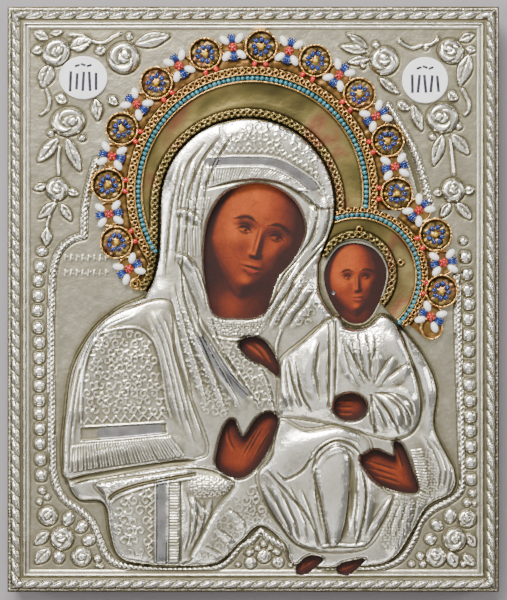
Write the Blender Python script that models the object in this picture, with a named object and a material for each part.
"""Icon panel: a painted board under an embossed metal cover, with two enamelled halos and two title discs.

The panel lies on its back. Its picture faces +Z, the top of the picture is +Y, and the origin is the
middle of the board's back. Lengths are in millimetres here and become metres as each mesh is made.
"""

import math

import bmesh
import bpy
import numpy as np
from mathutils.geometry import delaunay_2d_cdt

MM = 0.001

# Driving dimensions of the board and of the cover's sheet
PANEL_WIDTH = 262.0
PANEL_HEIGHT = 312.0
BOARD_THICKNESS = 24.0
BOARD_BEVEL = 0.8
SHEET_THICKNESS = 1.0
FIT_GAP = 0.3  # between pieces that lie against each other
SIDE_DEPTH = 19.0  # how far the folded sides reach down the board's edges
CORNER_SLOT = 4.0  # open stretch of the folded sides at each corner

# The frame, from the outer edge inwards
EDGE_BAND = 2.3
ROPE_WIDTH = 4.2
ROPE_HEIGHT = 2.6
ROPE_PITCH = 9.0
GROOVE_WIDTH = 1.6
RIDGE_WIDTH = 2.2
RIDGE_HEIGHT = 1.6
LINE_WIDTH = 1.7
LINE_HEIGHT = 0.8
FRAME_WIDTH = EDGE_BAND + ROPE_WIDTH + GROOVE_WIDTH + RIDGE_WIDTH + LINE_WIDTH

# Small ornaments of the field
CORD_WIDTH = 3.0
CORD_HEIGHT = 1.3
BEAD_HEIGHT = 2.4
BUD_HEIGHT = 3.6
BERRY_HEIGHT = 1.7
LEAF_HEIGHT = 1.9
STEM_WIDTH = 1.9
STEM_HEIGHT = 1.2

# Halos and discs
HALO_THICKNESS = 2.0
HALO_CLEARANCE = 0.6  # between a halo and the raised shape or halo beside it
BRAID_WIDTH = 3.6
BRAID_HEIGHT = 1.9
BEAD_ROW_WIDTH = 2.6
BEAD_ROW_HEIGHT = 1.1
FILIGREE_WIDTH = 4.2
FILIGREE_HEIGHT = 1.2
ROSETTE_RADIUS = 9.2
ROSETTE_HEIGHT = 3.2
CLUSTER_RADIUS = 7.0
CLUSTER_HEIGHT = 2.6
MOTHER_ROSETTES = 10
CHILD_ROSETTES = 2
DISC_RADIUS = 12.3
DISC_THICKNESS = 1.8
DISC_BEVEL = 0.5

# The picture is drawn on a field of this size and stretched to the field that the frame leaves
DRAWN_WIDTH = 238.0
DRAWN_HEIGHT = 288.0

SNAP = 0.8  # points of a plan nearer than this are drawn together
FOOT = 1.2  # width of the step up at the edge of a raised shape

FIELD = np.array([PANEL_WIDTH - 2 * FRAME_WIDTH, PANEL_HEIGHT - 2 * FRAME_WIDTH])
STRETCH = FIELD / (DRAWN_WIDTH, DRAWN_HEIGHT)
COVER_UNDERSIDE = BOARD_THICKNESS + FIT_GAP
GROUND = COVER_UNDERSIDE + SHEET_THICKNESS


# Curves and distances in the plane of the panel

def smooth_path(knots, step=8.0, closed=False):
    """A Catmull-Rom curve through the knots, with a point about every step."""
    knots = np.array(knots, float)
    if closed:
        ring = np.vstack([knots[-1], knots, knots[:2]])
    else:
        ring = np.vstack([2 * knots[0] - knots[1], knots, 2 * knots[-1] - knots[-2]])
    path = []
    for a, b, c, d in zip(ring, ring[1:], ring[2:], ring[3:]):
        count = max(1, round(float(np.linalg.norm(c - b)) / step))
        for t in np.arange(count) / count:
            bend = (2 * a - 5 * b + 4 * c - d) * t**2 + (3 * b - a - 3 * c + d) * t**3
            path.append(0.5 * (2 * b + (c - a) * t + bend))
    if not closed:
        path.append(knots[-1])
    return np.array(path)


def arc(centre, radius, start, end, step=7.0):
    """Points along an arc from one angle to another in degrees; radius may be a pair, for an ellipse."""
    wide, high = np.broadcast_to(radius, 2)
    turn = math.radians(end - start)
    count = max(3, round(abs(turn) * max(wide, high) / step))
    angles = math.radians(start) + turn * np.arange(count + 1) / count
    return np.column_stack([centre[0] + wide * np.cos(angles), centre[1] + high * np.sin(angles)])


def ring(centre, radius, count, turn=0.0):
    """The corners of a regular polygon."""
    angles = turn + 2 * math.pi * np.arange(count) / count
    return np.array(centre) + radius * np.column_stack([np.cos(angles), np.sin(angles)])


def fan(first, last, count):
    """Evenly spread curves from the first one to the last one."""
    first, last = np.array(first, float), np.array(last, float)
    shares = np.linspace(0.0, 1.0, count) if count > 1 else [0.0]
    return [smooth_path(first + (last - first) * share, 10.0) for share in shares]


def beside(path, distance, closed=False):
    """The path moved to its left by a distance."""
    if closed:
        along = np.roll(path, -1, axis=0) - np.roll(path, 1, axis=0)
    else:
        along = np.gradient(path, axis=0)
    along = along / np.linalg.norm(along, axis=1)[:, None]
    return path + distance * np.column_stack([-along[:, 1], along[:, 0]])


def grown(outline, distance):
    """A closed outline moved outwards, or inwards by a negative distance."""
    x, y = outline.T
    area = (x * np.roll(y, -1) - np.roll(x, -1) * y).sum()
    return beside(outline, -distance * math.copysign(1, area), closed=True)


def distance_along(points, path, closed=False):
    """How far each point is from the path, and where along it the nearest place is, from 0 to 1."""
    ends = np.vstack([path, path[:1]]) if closed else path
    steps = np.diff(ends, axis=0)
    lengths = np.linalg.norm(steps, axis=1)
    offset = points[:, None] - ends[:-1]
    share = np.clip((offset * steps).sum(2) / lengths**2, 0, 1)
    gaps = np.linalg.norm(offset - share[..., None] * steps, axis=2)
    nearest = gaps.argmin(1)
    row = np.arange(len(points))
    before = np.concatenate([[0.0], np.cumsum(lengths)])[nearest]
    place = (before + share[row, nearest] * lengths[nearest]) / lengths.sum()
    return gaps[row, nearest], place


def inside(points, outline):
    """Whether each point lies inside a closed outline."""
    x, y = points[:, :1], points[:, 1:]
    x0, y0 = outline.T
    x1, y1 = np.roll(outline, -1, axis=0).T
    crosses = (y0 > y) != (y1 > y)
    rise = np.where(y1 == y0, 1.0, y1 - y0)
    return (crosses & (x < x0 + (y - y0) * (x1 - x0) / rise)).sum(1) % 2 == 1


def depth_inside(points, outline):
    """How deep each point lies inside a closed outline, negative outside it."""
    gaps, _ = distance_along(points, outline, closed=True)
    return np.where(inside(points, outline), gaps, -gaps)


def round_top(share):
    """A rounded rise from 0 at the edge to 1 at a share of 1 and beyond."""
    return np.sqrt(1 - (1 - np.clip(share, 0, 1)) ** 2)


def step_up(depth):
    return np.clip(depth / FOOT, 0, 1)


# Windows that are cut through the cover, with the painting behind them

FLOOR = -DRAWN_HEIGHT / 2  # the field's lower edge, which the feet and the cord line up with

WINDOWS = {
    "mother_face": smooth_path(
        [(5, 61.5), (21, 53), (27.5, 38), (22, 22), (13, 11), (9.5, 0), (4, -8.5), (-9, -10),
         (-21, -7.5), (-25, 6), (-26.5, 22), (-24, 42), (-14, 57)], closed=True),
    "child_face": smooth_path(
        [(54, 30), (64, 27), (70, 19), (71, 11), (66.5, -3), (60, -12), (51, -12.3), (43.5, -5),
         (38.3, 7), (38.5, 17), (45, 27.3)], closed=True),
    "blessing_hand": smooth_path(
        [(-7.5, -23), (-2, -19.8), (5, -21.5), (9.8, -27), (13.4, -35), (13, -41), (6, -35.8),
         (-4, -30)], closed=True),
    "mother_right_hand": smooth_path(
        [(-10.5, -63.8), (-15, -67), (-18.5, -77), (-20, -88), (-14, -94), (-5, -94.8), (3, -88),
         (9.5, -77), (13.2, -64), (9, -60), (2, -63), (-5.5, -73)], closed=True),
    "child_left_hand": arc((51.5, -57.3), (9.0, 7.4), 0, 345),
    "mother_left_hand": smooth_path(
        [(57, -86), (60, -82), (66, -80), (75, -83.5), (74.5, -76), (79, -77), (85, -91), (87, -103),
         (68, -99)], closed=True),
    "left_foot": smooth_path(
        [(22.5, FLOOR - 1), (24, FLOOR + 3.5), (30, FLOOR + 7.8), (37.3, FLOOR + 6), (31, FLOOR - 1),
         (25, FLOOR - 3)], closed=True),
    "right_foot": smooth_path(
        [(44, FLOOR), (47, FLOOR + 3.7), (59.5, FLOOR + 5.7), (52, FLOOR - 2.5),
         (46.5, FLOOR - 2.5)], closed=True),
}

# The inner edges of the halos, which the veil and the child's window keep clear of

MOTHER_HALO_CENTRE = (-0.5, 57.0)
MOTHER_HEAD_CENTRE = (-3.0, 50.0)
MOTHER_HEAD_RADIUS = 47.5
CHILD_HALO_CENTRE = (55.5, 12.0)
CHILD_HEAD_CENTRE = (54.5, 13.0)
CHILD_HEAD_RADII = (17.7, 19.4)


def mother_head_edge(inset):
    """The curve round the mother's head, from its right end over the top to the left shoulder."""
    over = arc(MOTHER_HEAD_CENTRE, MOTHER_HEAD_RADIUS - inset, -14, 180)
    down = smooth_path([(-50.8 + inset, 38), (-51.6 + inset, 22), (-54 + inset, 11), (-57.5 + inset, 4.4)])
    return np.vstack([over, down])


# The figures, as raised shapes laid over one another from the back to the front:
# outline, rise at the edge, further rise in the middle, and how far in that middle starts

VEIL_CLEARANCE = 0.8
MANTLE_OUTLINE = np.vstack([
    mother_head_edge(VEIL_CLEARANCE),
    smooth_path([(-58, 1.5), (-74, -6), (-88, -20), (-97, -38), (-101, -66), (-102, -84), (-99.5, -97),
                 (-93, -107), (-80, -109), (-76.5, -126), (-71, -138), (-56, -141.8), (-22, -141.5),
                 (-7, -130), (4, -121), (17, -131), (23, -142), (60, -142.5), (75, -138), (85, -124),
                 (93, -110.5), (106, -103), (107.5, -91), (97, -69), (98, -48), (92, -32), (82, -18),
                 (75, -12), (68, -8.5), (60, -14.5), (50, -14.5), (41, -6), (35.5, 5), (35, 19)]),
])
CHILD_BODY_OUTLINE = smooth_path(
    [(43.5, -8.5), (50, -14.6), (60, -14.6), (68, -8.6), (76, -13), (84, -32), (89.5, -54), (86, -69),
     (75, -74.5), (58, -71), (40, -66), (22, -63), (13.5, -60), (13.5, -42), (14.5, -32), (27, -21)],
    closed=True)
LAP_OUTLINE = smooth_path(
    [(14, -64), (28, -69), (46, -67), (60, -73), (64, -82), (70, -101), (75, -104), (70, -118),
     (60, -132), (40, -134.5), (24, -131), (14, -120), (5, -106), (2, -93), (9, -82)], closed=True)
SHIN_OUTLINE = smooth_path(
    [(33, -92), (37, -82), (45, -77), (51, -84), (50.5, -106), (46, -128), (40, -130), (35, -112)],
    closed=True)
SLEEVE_OUTLINE = smooth_path(
    [(-84, -97), (-58, -92.5), (-30, -89), (-14, -93.5), (-9, -99), (-20, -113), (-30, -132),
     (-38, -141), (-58, -141), (-72, -136.5), (-76, -124), (-78, -108)], closed=True)
MANTLE_FALL_OUTLINE = smooth_path(
    [(-62, -2.5), (-80, -11), (-92, -28), (-99.5, -60), (-101, -84), (-99.5, -95.5), (-80, -91),
     (-55, -87.5), (-31, -85), (-24, -79), (-32, -55), (-41, -28), (-44, -2)], closed=True)

FIGURES = [
    (MANTLE_OUTLINE, 2.2, 3.2, 22.0),
    (SLEEVE_OUTLINE, 3.4, 2.2, 14.0),
    (MANTLE_FALL_OUTLINE, 4.6, 1.6, 16.0),
    (LAP_OUTLINE, 4.4, 2.2, 16.0),
    (SHIN_OUTLINE, 6.4, 1.6, 7.0),
    (CHILD_BODY_OUTLINE, 4.6, 2.8, 16.0),
]

# Drapery folds: first curve, last curve, how many, and the ridge's height and half width

FOLD_FANS = [
    ([(-46, 4), (-46, 28), (-43, 54), (-36, 78)],
     [(-33, 16), (-31, 38), (-27, 60), (-19, 80)], 5, 1.0, 2.2),
    ([(-45, 0), (-43, -16), (-38, -38), (-29, -66)],
     [(-31, -6), (-27, -18), (-15, -36), (2, -57)], 5, 1.1, 2.2),
    ([(38, 58), (38, 46), (33, 33), (22, 14)],
     [(31, 57), (31, 47), (29, 37), (26, 27)], 3, 0.9, 2.0),
    ([(26, 18), (14, 0), (7, -10), (4, -16)],
     [(34, 8), (29, -3), (23, -12), (17, -20)], 4, 1.1, 2.0),
    ([(-86, -22), (-91, -38), (-93, -60), (-94, -90)],
     [(-86, -22), (-91, -38), (-93, -60), (-94, -90)], 1, 0.9, 1.8),
    ([(-90, -68), (-70, -66), (-49, -62)], [(-90, -77), (-70, -75), (-46, -70)], 2, 0.8, 1.8),
    ([(-37, -97), (-36, -118), (-38, -138)], [(-21, -98), (-26, -115), (-32, -130)], 4, 0.9, 1.9),
    ([(-53, -99), (-53, -118), (-54, -138)], [(-45, -98), (-45, -118), (-45, -138)], 2, 0.9, 1.6),
    ([(20, -30), (21, -42), (25, -53), (33, -62)],
     [(36, -17), (37, -32), (38, -46), (40, -58)], 4, 1.1, 2.2),
    ([(44, -14), (43.5, -32), (43, -56)], [(44, -14), (43.5, -32), (43, -56)], 1, 1.0, 1.7),
    ([(49, -18), (50, -32), (54, -42), (61, -49)],
     [(61, -18), (61.5, -28), (62, -38), (63, -46)], 4, 1.0, 1.9),
    ([(65, -46), (67, -38), (68, -26)], [(66, -48), (75, -43), (85, -40)], 3, 1.1, 2.3),
    ([(66, -50), (75, -55), (86, -59)], [(64, -52), (68, -62), (74, -72)], 4, 1.1, 2.2),
    ([(28, -92), (34, -80), (45, -72), (58, -81)],
     [(32, -95), (37, -84), (45, -78), (54, -85)], 3, 0.8, 1.5),
    ([(6, -95), (10, -107), (16, -118), (22, -128)],
     [(29, -96), (31, -110), (34, -121), (37, -131)], 5, 1.1, 2.2),
    ([(54, -88), (54, -108), (51, -129)], [(70, -101), (67, -112), (60, -126)], 4, 1.1, 2.1),
    ([(88, -76), (93, -85), (96, -96), (95, -107)],
     [(97, -73), (103, -84), (104, -95), (102, -103)], 3, 1.0, 2.2),
    ([(80, -20), (87, -32), (93, -48), (93, -64)],
     [(80, -20), (87, -32), (93, -48), (93, -64)], 1, 0.9, 2.0),
    ([(-15, -111), (-5, -122)], [(-27, -132), (-15, -137)], 3, 0.9, 2.2),
    ([(3, -40), (3, -57)], [(11, -43), (11, -57)], 3, 0.8, 1.5),
]
FOLDS = [(path, height, width) for first, last, count, height, width in FOLD_FANS
         for path in fan(first, last, count)]

# Hems and cuffs: raised strips along a line, as curve, height and half width

HEMS = [
    (smooth_path([(-24, 75.5), (-6, 76.5), (12, 75.5), (28, 66.5), (36, 58)]), 1.1, 2.0),
    (smooth_path([(-27, 58), (-14, 66), (5, 68), (24, 59), (32, 44)]), 0.9, 1.8),
    (smooth_path([(64, -76.5), (70, -76), (75, -74)]), 0.9, 1.5),
]

# The field's ornaments: cords and stems as curves, the rest as centres with radii

CORDS = [
    smooth_path([(-84.5, 74), (-88.7, 58), (-90.3, 38), (-91, 33), (-100, 29.5), (-106.3, 17), (-107.7, -5),
                 (-107.6, -50), (-107, -90), (-104, -102), (-92, -113), (-83, -126), (-77, -138),
                 (-64, FLOOR + 0.7), (-40, FLOOR), (-20, FLOOR + 0.7), (-10, -135), (4, -124.5)], 9.0),
    smooth_path([(4, -124.5), (16, -132), (22, FLOOR + 4.5)], 9.0),
    smooth_path([(61, FLOOR), (78, -139), (86, -126.5), (94, -113.5), (107, -106), (111.7, -94), (111, -60),
                 (109.3, -20)], 9.0),
    smooth_path([(73.5, 103), (79.5, 94), (84.5, 84.5), (89, 72), (92.8, 57)], 9.0),
]
STEMS = [
    smooth_path([(-99, 140), (-84, 136.5), (-75, 140), (-69, 141.5)]),
    smooth_path([(-109, 112), (-109, 103), (-114, 98)]),
    smooth_path([(-102, 87), (-104, 76), (-103, 66)]),
    smooth_path([(-104, 52), (-109, 41), (-110, 36)]),
    smooth_path([(77, 139), (86, 134), (95, 136), (99, 140)]),
    smooth_path([(111, 113), (115, 105), (112.5, 98)]),
    smooth_path([(104, 88), (106, 76), (107, 66)]),
]
BUDS = [
    (-105, 131.5, 7.2), (-69, 128.5, 8.3), (-98.5, 94.5, 8.3), (-104.5, 58.5, 6.0),
    (70, 127, 7.6), (105.5, 132, 6.7), (101, 96.5, 8.2), (106.5, 58, 6.2),
    (-109.5, -115.5, 5.2), (-102, -127.5, 6.2), (-91.5, -137.2, 5.2),
    (113.5, -117, 4.6), (107.5, -128, 6.2), (97.5, -137.2, 5.4),
    (5.7, -137, 3.7), (-1.3, -140.5, 2.9), (13, -140.5, 2.9),
]
BERRIES = [
    (-66, 140, 2.0), (-108, 88.5, 2.0), (-91, 86, 2.0), (65.5, 136.5, 2.0), (109.5, 92, 2.0),
    (-83, -139, 2.0), (88.5, -138, 2.0), (-110, -105.5, 1.8), (114, -108.5, 2.0),
]
LEAVES = [  # base, tip and width
    (-109, 139, -117, 142.3, 5.0), (-112, 134, -118, 131.5, 4.5), (-98, 134, -86, 138.5, 7.0),
    (-84, 131, -79, 134, 4.5), (-108, 125, -112.5, 112.5, 8.0), (-105.5, 108, -99, 105.5, 5.0),
    (-84, 107, -82.5, 95, 5.5), (-77, 108, -72, 103.5, 4.5), (-63, 136, -44, 140.5, 7.0),
    (-104, 86, -115, 73, 6.0), (-99, 86, -92, 68, 6.0), (-110, 61, -117, 58.5, 4.0),
    (-99.5, 58, -92.5, 56, 4.0), (-105, 52, -114.5, 43.5, 5.0), (-102.5, 51, -97, 41.5, 4.5),
    (61, 134, 50, 141, 4.5), (61, 132, 46, 134.5, 5.0), (62, 128, 50, 126, 4.5),
    (110, 138, 118, 141, 5.0), (113.5, 134, 118.5, 132, 4.0), (115, 130.5, 110, 114, 7.5),
    (103.5, 110, 109, 106.5, 5.0), (77, 105, 83.5, 101, 5.0), (85, 104, 90, 90, 5.0),
    (67, 118, 78, 109.5, 5.0), (101, 87, 96, 71, 6.0), (106, 87, 115, 77.5, 6.0),
    (101, 57, 92.8, 58.2, 4.0), (112, 57.5, 118, 59, 4.0), (105, 51.5, 100, 43.5, 4.5),
    (108.5, 51.5, 115.5, 42.5, 5.0),
    (-101, -121, -96, -113.5, 5.0), (-95, -124, -88, -119, 5.0), (-92, -131, -84.5, -127.5, 5.0),
    (-109, -124, -116, -131, 5.0), (-108.5, -133, -115.5, -140, 6.0), (-99, -134, -106, -141.5, 6.0),
    (101, -118, 108, -112.5, 5.5), (101, -124, 95, -117.5, 5.0), (98.5, -130.5, 91, -126.5, 5.0),
    (113.5, -125, 118.3, -132, 4.5), (104.5, -135, 109.5, -142, 5.5), (112, -136, 117.5, -142, 4.5),
    (2.5, -135, -5, -133.5, 3.6), (9, -135, 16, -133.3, 3.6),
]


def bead_column(top, bottom, count, bulge, radius):
    """Bead centres from top to bottom, bowed outwards in the middle."""
    share = np.linspace(0.0, 1.0, count)[:, None]
    line = np.array(top) + (np.array(bottom) - np.array(top)) * share
    line[:, 0] += bulge * np.sin(math.pi * share[:, 0]) ** 0.5
    return [(x, y, radius) for x, y in line]


BEADS = bead_column((-113.3, 18), (-113.2, -94), 15, -1.2, 3.1)
BEADS += bead_column((113, 22), (116.8, -96), 15, 1.0, 3.2)
BEADS += [(-112.5, 26, 2.5), (-113, -102, 2.1), (112, 31, 2.3), (117, -103.8, 2.1)]
TEARDROP = (-110, 36.5, -110, 28.5, 5.5)


# Heights above the cover's flat ground, for points of the drawing

def dome(points, x, y, radius, height):
    return height * round_top(1 - np.hypot(points[:, 0] - x, points[:, 1] - y) / radius)


def leaf_outline(leaf, swell=1.0):
    """The six corners of a leaf, from its base round its tip."""
    base, tip, width = np.array(leaf[:2], float), np.array(leaf[2:4], float), leaf[4] * swell
    along = tip - base
    across = np.array([-along[1], along[0]]) / np.linalg.norm(along) * width / 2
    places = [(0.0, 0.0), (0.3, 0.9), (0.65, 0.8), (1.0, 0.0), (0.65, -0.8), (0.3, -0.9)]
    return np.array([base + along * u + across * v for u, v in places])


def leaf_rib(leaf):
    base, tip = np.array(leaf[:2], float), np.array(leaf[2:4], float)
    return np.array([base + (tip - base) * share for share in (0.25, 0.6, 0.9)])


def ridge(points, path, height, width):
    """A rounded strip along a path, dying away at its two ends."""
    gap, place = distance_along(points, path)
    ends = np.clip(np.minimum(place, 1 - place) / 0.12, 0.35, 1)
    return height * ends * np.clip(1 - (gap / width) ** 2, 0, 1)


def ornament_height(points):
    height = np.zeros(len(points))
    raised = [dome(points, x, y, radius, BEAD_HEIGHT) for x, y, radius in BEADS]
    raised += [dome(points, x, y, radius, BUD_HEIGHT * min(1, radius / 6)) for x, y, radius in BUDS]
    raised += [dome(points, x, y, radius, BERRY_HEIGHT) for x, y, radius in BERRIES]
    for leaf in [*LEAVES, TEARDROP]:
        depth = depth_inside(points, leaf_outline(leaf))
        raised.append(LEAF_HEIGHT * round_top(depth / (0.4 * leaf[4])))
    for path in CORDS:
        raised.append(CORD_HEIGHT * round_top(1 - distance_along(points, path)[0] / (CORD_WIDTH / 2)))
    for path in STEMS:
        raised.append(STEM_HEIGHT * round_top(1 - distance_along(points, path)[0] / (STEM_WIDTH / 2)))
    return np.max([height, *raised], axis=0)


def figure_height(points, height):
    """The figures over whatever lies behind them, with their folds and hems."""
    folds = sum(ridge(points, *fold) for fold in FOLDS) + sum(ridge(points, *hem) for hem in HEMS)
    for outline, rise, swell, middle in FIGURES:
        depth = depth_inside(points, outline)
        body = rise + swell * round_top(depth / middle) + folds
        height = np.where(depth > 0, height + (body - height) * step_up(depth), height)
    return height


def window_lip(points, height):
    """The sheet turned down at the edge of each window, so that its rim is thin."""
    for outline in WINDOWS.values():
        away = -depth_inside(points, outline)
        height = height * (0.45 + 0.55 * np.clip(away / (2 * FOOT), 0, 1))
    return height


# The frame, by the distance from the panel's outer edge

ROPE_FOOT = EDGE_BAND + ROPE_WIDTH
RIDGE_START = ROPE_FOOT + GROOVE_WIDTH
LINE_START = RIDGE_START + RIDGE_WIDTH
FRAME_PROFILE = [  # distance from the edge, height above the ground
    (0.0, -0.4), (0.35 * EDGE_BAND, 0.5), (EDGE_BAND, 0.7), (ROPE_FOOT, 0.3),
    (RIDGE_START, 0.1), (RIDGE_START + RIDGE_WIDTH / 2, RIDGE_HEIGHT), (LINE_START, 0.2),
    (LINE_START + 0.55 * LINE_WIDTH, LINE_HEIGHT), (FRAME_WIDTH, 0.0),
]


def rope_sides():
    """Each side's corner, direction along the side, direction inwards, and length."""
    wide, high = PANEL_WIDTH / 2, PANEL_HEIGHT / 2
    return [
        ((-wide, -high), (1, 0), (0, 1), PANEL_WIDTH), ((wide, -high), (0, 1), (-1, 0), PANEL_HEIGHT),
        ((wide, high), (-1, 0), (0, -1), PANEL_WIDTH), ((-wide, high), (0, -1), (1, 0), PANEL_HEIGHT),
    ]


def frame_height(points):
    edge = np.minimum(PANEL_WIDTH / 2 - np.abs(points[:, 0]), PANEL_HEIGHT / 2 - np.abs(points[:, 1]))
    height = np.interp(edge, *np.array(FRAME_PROFILE).T)
    for corner, along, inward, length in rope_sides():
        offset = points - corner
        run, depth = offset @ along, offset @ inward
        strands = round((length - 2 * EDGE_BAND) / ROPE_PITCH)
        across = (depth - EDGE_BAND - ROPE_WIDTH / 2) / (ROPE_WIDTH / 2)
        phase = (run - EDGE_BAND) * strands / (length - 2 * EDGE_BAND) - 0.25 * across
        swell = 0.45 + 0.55 * np.abs(np.sin(math.pi * phase))
        rope = ROPE_HEIGHT * swell * np.sqrt(np.clip(1 - across**2, 0, 1))
        own = (np.abs(across) < 1) & (depth <= edge + 0.01)
        height = np.where(own, height + rope, height)
    return height


def cover_height(points):
    drawn = points / STRETCH
    height = ornament_height(drawn)
    height = figure_height(drawn, height)
    in_field = (np.abs(points) <= FIELD / 2).all(1)
    height = np.where(in_field, height, np.maximum(frame_height(points), 0.5 * height))
    return GROUND + window_lip(drawn, height)


# Plans: the lines that a relief's faces have to follow

def frame_lines():
    """The mouldings' straight lines and the rope's twisted strands."""
    lines = []
    for distance, _ in FRAME_PROFILE[1:]:
        wide, high = PANEL_WIDTH / 2 - distance, PANEL_HEIGHT / 2 - distance
        lines.append((np.array([(-wide, -high), (wide, -high), (wide, high), (-wide, high)]), True))
    for corner, along, inward, length in rope_sides():
        corner, along, inward = np.array(corner), np.array(along), np.array(inward)
        strands = round((length - 2 * EDGE_BAND) / ROPE_PITCH)
        pitch = (length - 2 * EDGE_BAND) / strands
        crest = []
        for strand in range(1, strands):
            notch = corner + along * (EDGE_BAND + strand * pitch)
            middle = notch + inward * (EDGE_BAND + ROPE_WIDTH / 2)
            outer = notch + inward * EDGE_BAND - along * 0.25 * pitch
            inner = notch + inward * ROPE_FOOT + along * 0.25 * pitch
            lines.append((np.array([outer, middle, inner]), False))
            crest += [middle, middle + along * pitch / 2]
        lines.append((np.array(crest[:-1]), False))
    return lines


def strip_lines(path, half_width):
    """A raised strip's middle and its two sides."""
    return [(path, False), (beside(path, half_width), False), (beside(path, -half_width), False)]


def ornament_lines():
    lines = []
    for x, y, radius in BEADS:
        lines += [(ring((x, y), radius, 6), True), (ring((x, y), 0.6 * radius, 4), True)]
    for x, y, radius in BUDS:
        corners = 8 if radius > 5 else 6
        lines += [(ring((x, y), radius, corners), True), (ring((x, y), 0.7 * radius, corners), True)]
        lines.append((np.array([(x, y)]), False))
    for x, y, radius in BERRIES:
        lines += [(ring((x, y), radius, 5), True), (np.array([(x, y)]), False)]
    for leaf in [*LEAVES, TEARDROP]:
        lines += [(leaf_outline(leaf), True), (leaf_rib(leaf), False)]
    for path in CORDS:
        lines += strip_lines(path, CORD_WIDTH / 2)
    for path in STEMS:
        lines += strip_lines(path, STEM_WIDTH / 2)
    return lines


def figure_lines():
    lines = []
    for outline, *_ in FIGURES:
        lines += [(outline, True), (grown(outline, -FOOT), True)]
    for path, _, width in [*FOLDS, *HEMS]:
        lines += strip_lines(path, 0.8 * width)
    return lines


def spread_points(spacing, outline, lines):
    """Points of an even grid inside an outline, where no line passes nearer than half the spacing."""
    low, high = outline.min(axis=0), outline.max(axis=0)
    xs = np.arange(low[0] + spacing / 2, high[0], spacing)
    ys = np.arange(low[1] + spacing / 2, high[1], spacing)
    grid = np.array([(x, y) for x in xs for y in ys])
    grid = grid[inside(grid, outline)]
    used = np.vstack([path for path, _ in lines])
    far = [np.linalg.norm(used - point, axis=1).min() > spacing / 2 for point in grid]
    return grid[far]


def triangulate(lines):
    """Points and triangles of a triangulation that keeps every line."""
    placed, cells, edges = [], {}, set()

    def place(point):
        column, row = int(point[0] // SNAP), int(point[1] // SNAP)
        for near in ((column + i, row + j) for i in (-1, 0, 1) for j in (-1, 0, 1)):
            for index in cells.get(near, []):
                if math.dist(placed[index], point) < SNAP:
                    return index
        placed.append((float(point[0]), float(point[1])))
        cells.setdefault((column, row), []).append(len(placed) - 1)
        return len(placed) - 1

    for path, closed in lines:
        numbers = [place(point) for point in path]
        ends = numbers[1:] + numbers[:1] if closed else numbers[1:]
        edges |= {(min(pair), max(pair)) for pair in zip(numbers, ends) if pair[0] != pair[1]}
    points, _, faces, *_ = delaunay_2d_cdt(placed, sorted(edges), [], 0, 1e-5)
    return np.array([point[:] for point in points]), np.array([face for face in faces])


def within(points, faces, outer, holes):
    """The faces whose middle lies in the outer outline and in no hole, each turned to face up."""
    middles = points[faces].mean(axis=1)
    kept = inside(middles, outer)
    for hole in holes:
        kept &= ~inside(middles, hole)
    a, b, c = points[faces[kept]].transpose(1, 0, 2)
    turn = (b[:, 0] - a[:, 0]) * (c[:, 1] - a[:, 1]) - (b[:, 1] - a[:, 1]) * (c[:, 0] - a[:, 0])
    return np.where((turn < 0)[:, None], faces[kept][:, ::-1], faces[kept])


def relief_mesh(outer, holes, lines, height, underside, under_lines=()):
    """A closed body: a relief above, flat below, with upright edges round the outline and the holes."""
    points, faces = triangulate([(outer, True), *((hole, True) for hole in holes), *lines])
    faces = within(points, faces, outer, holes)
    sides = np.concatenate([faces[:, [0, 1]], faces[:, [1, 2]], faces[:, [2, 0]]])
    pairs = {tuple(side) for side in sides.tolist()}
    rim = [(a, b) for a, b in sides.tolist() if (b, a) not in pairs]
    numbers = sorted({a for a, _ in rim})
    order = {number: place for place, number in enumerate(numbers)}

    under, under_faces = flat_underside(points[numbers], [(order[a], order[b]) for a, b in rim], under_lines)
    under_faces = within(under, under_faces, outer, holes)

    shape = bmesh.new()
    top = [shape.verts.new((x, y, z)) for (x, y), z in zip(points, height(points))]
    below = [shape.verts.new((x, y, underside)) for x, y in under]
    for a, b, c in faces:
        shape.faces.new((top[a], top[b], top[c]))
    for a, b, c in under_faces:
        shape.faces.new((below[c], below[b], below[a]))
    for a, b in rim:
        shape.faces.new((top[b], top[a], below[order[a]], below[order[b]]))
    bmesh.ops.delete(shape, geom=[vertex for vertex in shape.verts if not vertex.link_faces], context="VERTS")
    return shape


def flat_underside(rim_points, rim_edges, under_lines):
    """A triangulation of the outline seen from below, with any lines that its sides are folded from."""
    placed = [(float(x), float(y)) for x, y in rim_points]
    edges = list(rim_edges)
    for path in under_lines:
        numbers = []
        for point in path:
            gaps = np.linalg.norm(np.array(placed) - point, axis=1)
            if gaps.min() < 1e-3:
                numbers.append(int(gaps.argmin()))
            else:
                numbers.append(len(placed))
                placed.append((float(point[0]), float(point[1])))
        edges += list(zip(numbers, numbers[1:]))
    points, _, faces, *_ = delaunay_2d_cdt(placed, edges, [], 0, 1e-5)
    return np.array([point[:] for point in points]), np.array([face for face in faces])


# Objects and materials

def clear_scene():
    for thing in list(bpy.data.objects):
        bpy.data.objects.remove(thing, do_unlink=True)


def new_collection(name):
    collection = bpy.data.collections.new(name)
    bpy.context.scene.collection.children.link(collection)
    return collection


def finish(name, color, metallic, roughness):
    material = bpy.data.materials.new(name)
    material.use_nodes = True
    shader = material.node_tree.nodes["Principled BSDF"]
    shader.inputs["Base Color"].default_value = (*color, 1.0)
    shader.inputs["Metallic"].default_value = metallic
    shader.inputs["Roughness"].default_value = roughness
    return material


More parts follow.
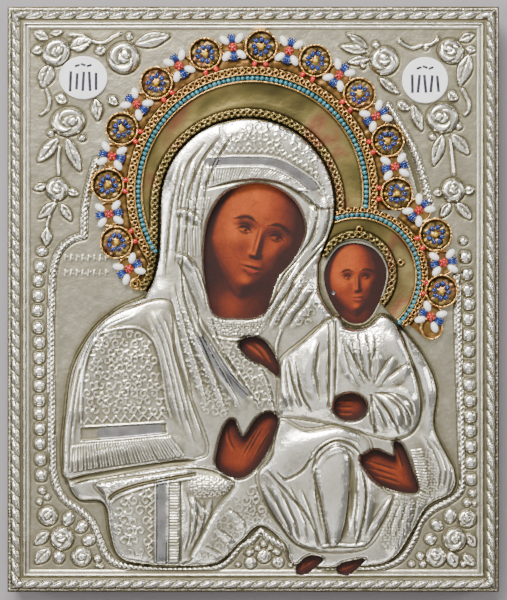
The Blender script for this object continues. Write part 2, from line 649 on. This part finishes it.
def add_object(collection, name, shape, material, location=(0.0, 0.0, 0.0)):
    """Turns a bmesh in millimetres into a named object in metres."""
    bmesh.ops.scale(shape, vec=(MM, MM, MM), verts=shape.verts)
    mesh = bpy.data.meshes.new(name)
    shape.to_mesh(mesh)
    shape.free()
    thing = bpy.data.objects.new(name, mesh)
    thing.location = [value * MM for value in location]
    mesh.materials.append(material)
    collection.objects.link(thing)
    return thing


# The board

def make_board(collection):
    shape = bmesh.new()
    bmesh.ops.create_cube(shape, size=1.0)
    around = 2 * (SHEET_THICKNESS + FIT_GAP)
    size = (PANEL_WIDTH - around, PANEL_HEIGHT - around, BOARD_THICKNESS)
    bmesh.ops.scale(shape, vec=size, verts=shape.verts)
    bmesh.ops.bevel(shape, geom=shape.edges[:], offset=BOARD_BEVEL, segments=1, affect="EDGES", profile=0.5)
    wood = finish("painted_wood", (0.16, 0.07, 0.04), 0.0, 0.6)
    add_object(collection, "icon_board", shape, wood, (0, 0, BOARD_THICKNESS / 2))


# The cover

def side_strips():
    """Rectangles of the underside from which the four sides are folded down, clear of the corners."""
    wide, high = PANEL_WIDTH / 2, PANEL_HEIGHT / 2
    strips = []
    for turn in (-1, 1):
        for x0, x1, y0, y1 in (
            (-wide + CORNER_SLOT, wide - CORNER_SLOT, high, high - SHEET_THICKNESS),
            (wide, wide - SHEET_THICKNESS, -high + CORNER_SLOT, high - CORNER_SLOT),
        ):
            strips.append(turn * np.array([(x0, y0), (x1, y0), (x1, y1), (x0, y1)]))
    return strips


def cover_outline():
    """The panel's rectangle, with a point where each folded side starts and ends."""
    wide, high = PANEL_WIDTH / 2, PANEL_HEIGHT / 2
    near_x, near_y = wide - CORNER_SLOT, high - CORNER_SLOT
    return np.array([
        (-wide, -high), (-near_x, -high), (near_x, -high), (wide, -high), (wide, -near_y), (wide, near_y),
        (wide, high), (near_x, high), (-near_x, high), (-wide, high), (-wide, near_y), (-wide, -near_y),
    ])


def make_cover(collection):
    holes = [outline * STRETCH for outline in WINDOWS.values()]
    drawn = [*figure_lines(), *ornament_lines()]
    drawn += [(np.array([point]), False) for point in spread_points(16.0, MANTLE_OUTLINE, drawn)]
    lines = frame_lines() + [(path * STRETCH, closed) for path, closed in drawn]
    strips = side_strips()
    under_lines = [np.vstack([strip, strip[:1]]) for strip in strips]
    shape = relief_mesh(cover_outline(), holes, lines, cover_height, COVER_UNDERSIDE, under_lines)

    below = [face for face in shape.faces if face.calc_center_median().z <= COVER_UNDERSIDE]
    middles = np.array([face.calc_center_median()[:2] for face in below])
    folded = np.any([inside(middles, strip) for strip in strips], axis=0)
    chosen = [face for face, part in zip(below, folded) if part]
    sides = bmesh.ops.extrude_face_region(shape, geom=chosen)
    moved = [item for item in sides["geom"] if isinstance(item, bmesh.types.BMVert)]
    bmesh.ops.translate(shape, vec=(0, 0, -SIDE_DEPTH), verts=moved)
    bmesh.ops.delete(shape, geom=chosen, context="FACES_ONLY")
    bmesh.ops.recalc_face_normals(shape, faces=shape.faces[:])
    silvered = finish("silvered_sheet", (0.62, 0.6, 0.54), 1.0, 0.35)
    add_object(collection, "riza", shape, silvered)


# The halos

def crest_places(centre, count, first, pitch, drift, radius, lift, shrink):
    """Rosette centres on a halo's crest, and the function that places what lies between them."""
    def place(step):
        angle = math.radians(first - pitch * step + drift * step**2)
        reach = radius + lift * math.sin(angle) ** 2 - shrink * step
        return centre[0] + reach * math.cos(angle), centre[1] + reach * math.sin(angle)

    rosettes = [place(step) for step in range(count)]
    return rosettes, place


MOTHER_CREST, mother_place = crest_places(
    MOTHER_HALO_CENTRE, MOTHER_ROSETTES, 200.3, 23.3, 0.108, 77.0, 0.7, 0.0)
MOTHER_CLUSTERS = [mother_place(step - 0.5) for step in range(MOTHER_ROSETTES)]
CHILD_CREST, child_place = crest_places(CHILD_HALO_CENTRE, CHILD_ROSETTES, 28.3, 38.0, 0.0, 47.2, 0.0, 1.8)
CHILD_CLUSTERS = [child_place(step - 0.5) for step in range(CHILD_ROSETTES + 1)]

MOTHER_RINGS = {"head": MOTHER_HEAD_RADIUS, "beads": 60.7, "rim": 66.5}
CHILD_RINGS = {"head": sum(CHILD_HEAD_RADII) / 2, "beads": 33.0, "rim": 37.3}
MOTHER_SPAN = (-12, 221)  # where each halo starts and ends, in degrees
CHILD_SPAN = (-47, 150)
BAND_HOLLOW = 0.7  # how deep the plain band between the braid and the bead row is


def crest_reach(angles, centre, rim, discs):
    """How far a halo reaches from its centre in each direction: its rim, or the discs on its crest."""
    heading = np.column_stack([np.cos(angles), np.sin(angles)])
    reach = np.full(len(angles), float(rim))
    for x, y, radius in discs:
        offset = np.array([x, y]) - centre
        along = heading @ offset
        across = offset @ offset - along**2
        hit = (across < radius**2) & (along > 0)
        reach = np.maximum(reach, np.where(hit, along + np.sqrt(np.clip(radius**2 - across, 0, None)), 0))
    return reach


def halo_outline(centre, start, end, rim, discs, inner, keep_clear):
    """The closed outline of a halo, cut short of the pieces that it has to keep clear of."""
    count = round(abs(end - start) / 2.8)
    angles = np.radians(np.linspace(start, end, count))
    outer = []
    for angle, reach in zip(angles, crest_reach(angles, centre, rim, discs)):
        steps = np.arange(12.0, reach, 0.25)[:, None]
        ray = np.array(centre) + steps * [math.cos(angle), math.sin(angle)]
        outside_head = ~inside(ray, inner)
        blocked = np.zeros(len(ray), bool)
        for shape in keep_clear:
            blocked |= depth_inside(ray, shape) > -HALO_CLEARANCE
        free = outside_head & ~blocked
        if not free.any():
            continue
        first = int(free.argmax())
        stop = first + int((~free[first:]).argmax()) if (~free[first:]).any() else len(ray) - 1
        if stop - first > 4:
            outer.append(ray[max(first, stop - 1)])
    return np.array(outer)


def crest_discs(rosettes, clusters, extra):
    discs = [(x, y, ROSETTE_RADIUS) for x, y in rosettes]
    discs += [(x, y, CLUSTER_RADIUS) for x, y in clusters]
    return discs + extra


def child_head_edge():
    """The curve round the child's window, which the small halo starts from."""
    return arc(CHILD_HEAD_CENTRE, CHILD_HEAD_RADII, CHILD_SPAN[0], CHILD_SPAN[1] + 2, 5.0)


CHILD_DISCS = crest_discs(CHILD_CREST, CHILD_CLUSTERS, [(95.0, -15.5, 6.5)])
MOTHER_DISCS = crest_discs(MOTHER_CREST, MOTHER_CLUSTERS, [(-62.5, 8.0, 3.5)])
CHILD_OUTER = halo_outline(
    CHILD_HALO_CENTRE, *CHILD_SPAN, CHILD_RINGS["rim"], CHILD_DISCS, child_head_edge(), [MANTLE_OUTLINE])
CHILD_OUTLINE = np.vstack([CHILD_OUTER, child_head_edge()[::-1]])
MOTHER_OUTER = halo_outline(
    MOTHER_HALO_CENTRE, *MOTHER_SPAN, MOTHER_RINGS["rim"], MOTHER_DISCS,
    np.vstack([mother_head_edge(0.0), [(0, 0)]]), [])
MANTLE_CLEARANCE = grown(MANTLE_OUTLINE, HALO_CLEARANCE)
CHILD_CLEARANCE = grown(CHILD_OUTLINE, HALO_CLEARANCE)
MOTHER_EDGE = mother_head_edge(0.0)
MOTHER_EDGE = MOTHER_EDGE[depth_inside(MOTHER_EDGE, CHILD_OUTLINE) < -HALO_CLEARANCE]
MOTHER_OUTLINE = np.vstack([MOTHER_OUTER, MOTHER_EDGE[::-1]])


# Distance from a flower's middle and height there, as shares of its radius and of its height
ROSETTE_PROFILE = [(0, 1), (0.25, 0.55), (0.5, 0.8), (0.85, 0.45), (1, 0)]
CLUSTER_PROFILE = [(0, 1), (0.4, 0.5), (0.8, 0.8), (1, 0)]


def bump(distance, width, height):
    return height * round_top(1 - distance / (width / 2))


def halo_height(centre, rings, inner, rosettes, clusters):
    """The height function of a halo: inner braid, hollow band, bead row, filigree rim, crest."""
    def height(points):
        drawn = points / STRETCH
        from_head, _ = distance_along(drawn, inner)
        radius = np.linalg.norm(drawn - centre, axis=1)
        band_middle, band_width = (rings["beads"] + rings["head"]) / 2, rings["beads"] - rings["head"]
        level = HALO_THICKNESS + BAND_HOLLOW * np.clip(np.abs(radius - band_middle) / (band_width / 2), 0, 1)
        level = level + bump(np.abs(from_head - BRAID_WIDTH / 2), BRAID_WIDTH, BRAID_HEIGHT)
        level = level + bump(np.abs(radius - rings["beads"]), BEAD_ROW_WIDTH, BEAD_ROW_HEIGHT)
        filigree = rings["rim"] - FILIGREE_WIDTH / 2
        level = level + bump(np.abs(radius - filigree), FILIGREE_WIDTH, FILIGREE_HEIGHT)
        for x, y in rosettes:
            away = np.hypot(drawn[:, 0] - x, drawn[:, 1] - y) / ROSETTE_RADIUS
            flower = ROSETTE_HEIGHT * np.interp(away, *np.array(ROSETTE_PROFILE).T)
            level = np.where(away < 1, np.maximum(level, HALO_THICKNESS + flower), level)
        for x, y in clusters:
            away = np.hypot(drawn[:, 0] - x, drawn[:, 1] - y) / CLUSTER_RADIUS
            enamel = CLUSTER_HEIGHT * np.interp(away, *np.array(CLUSTER_PROFILE).T)
            level = np.where(away < 1, np.maximum(level, HALO_THICKNESS + enamel), level)
        return GROUND + FIT_GAP + level
    return height


def halo_lines(centre, rings, span, outline, inner, rosettes, clusters):
    """The rings and flowers of a halo, as far as they lie within its outline."""
    middle, petals = np.array(centre), 6
    paths = []
    for x, y in rosettes:
        paths += [ring((x, y), 0.85 * ROSETTE_RADIUS, 10), ring((x, y), 0.5 * ROSETTE_RADIUS, 8)]
        paths += [ring((x, y), 0.25 * ROSETTE_RADIUS, 5), np.array([(x, y)])]
    for x, y in clusters:
        outward = math.atan2(y - middle[1], x - middle[0])
        paths += [ring((x, y), 0.8 * CLUSTER_RADIUS, petals, outward), np.array([(x, y)])]
        paths.append(ring((x, y), 0.4 * CLUSTER_RADIUS, 4, outward))
    for radius in (rings["beads"], rings["rim"] - FILIGREE_WIDTH / 2):
        paths.append(arc(centre, radius, *span, 7.0))
    for radius in (rings["beads"] - BEAD_ROW_WIDTH / 2, rings["beads"] + BEAD_ROW_WIDTH / 2, rings["rim"]):
        paths.append(arc(centre, radius, *span, 9.0))
    lines = []
    for path in paths:
        keep = depth_inside(path, outline) > 1.0
        for run in np.split(path, np.flatnonzero(np.diff(keep.astype(int))) + 1):
            if depth_inside(run[:1], outline)[0] > 1.0:
                lines.append((run, False))
    outward = -1 if depth_inside(beside(inner, 1.0)[2:3], outline)[0] < 0 else 1
    for distance in (BRAID_WIDTH / 2, BRAID_WIDTH):
        braid = beside(inner, outward * distance)
        keep = depth_inside(braid, outline) > 1.0
        lines.append((braid[keep], False))
    return lines


def make_halo(collection, name, outline, cut, inner, centre, rings, span, rosettes, clusters, material):
    lines = halo_lines(centre, rings, span, outline, inner, rosettes, clusters)
    height = halo_height(centre, rings, inner, rosettes, clusters)
    stretched = [(path * STRETCH, closed) for path, closed in lines]
    holes = [hole * STRETCH for hole in cut]
    shape = relief_mesh(outline * STRETCH, holes, stretched, height, GROUND + FIT_GAP)
    bmesh.ops.recalc_face_normals(shape, faces=shape.faces[:])
    add_object(collection, name, shape, material)


# The title discs

def make_disc(collection, name, x, y, across, material):
    """A round enamel plate; across gives its width and height as shares of the disc's radius."""
    shape = bmesh.new()
    bmesh.ops.create_cone(shape, cap_ends=True, segments=24, radius1=DISC_RADIUS, radius2=DISC_RADIUS,
                          depth=DISC_THICKNESS)
    bmesh.ops.scale(shape, vec=(*across, 1.0), verts=shape.verts)
    rim = [edge for edge in shape.edges if all(vertex.co.z > 0 for vertex in edge.verts)]
    bmesh.ops.bevel(shape, geom=rim, offset=DISC_BEVEL, segments=2, affect="EDGES", profile=0.5)
    place = (x * STRETCH[0], y * STRETCH[1], GROUND + FIT_GAP + DISC_THICKNESS / 2)
    add_object(collection, name, shape, material, place)


def main():
    clear_scene()
    parts = new_collection("icon_panel")
    make_board(parts)
    make_cover(parts)
    gilt = finish("gilt_metal", (0.65, 0.5, 0.25), 1.0, 0.35)
    make_halo(parts, "mother_halo", MOTHER_OUTLINE, [CHILD_CLEARANCE], mother_head_edge(0.0),
              MOTHER_HALO_CENTRE, MOTHER_RINGS, MOTHER_SPAN, MOTHER_CREST, MOTHER_CLUSTERS, gilt)
    make_halo(parts, "child_halo", CHILD_OUTLINE, [MANTLE_CLEARANCE], child_head_edge(),
              CHILD_HALO_CENTRE, CHILD_RINGS, CHILD_SPAN, CHILD_CREST, CHILD_CLUSTERS, gilt)
    enamel = finish("white_enamel", (0.85, 0.85, 0.86), 0.0, 0.15)
    make_disc(parts, "left_title_plaque", -90.5, 118.0, (1.05, 0.94), enamel)
    make_disc(parts, "right_title_plaque", 91.5, 116.7, (1.0, 1.0), enamel)


main()
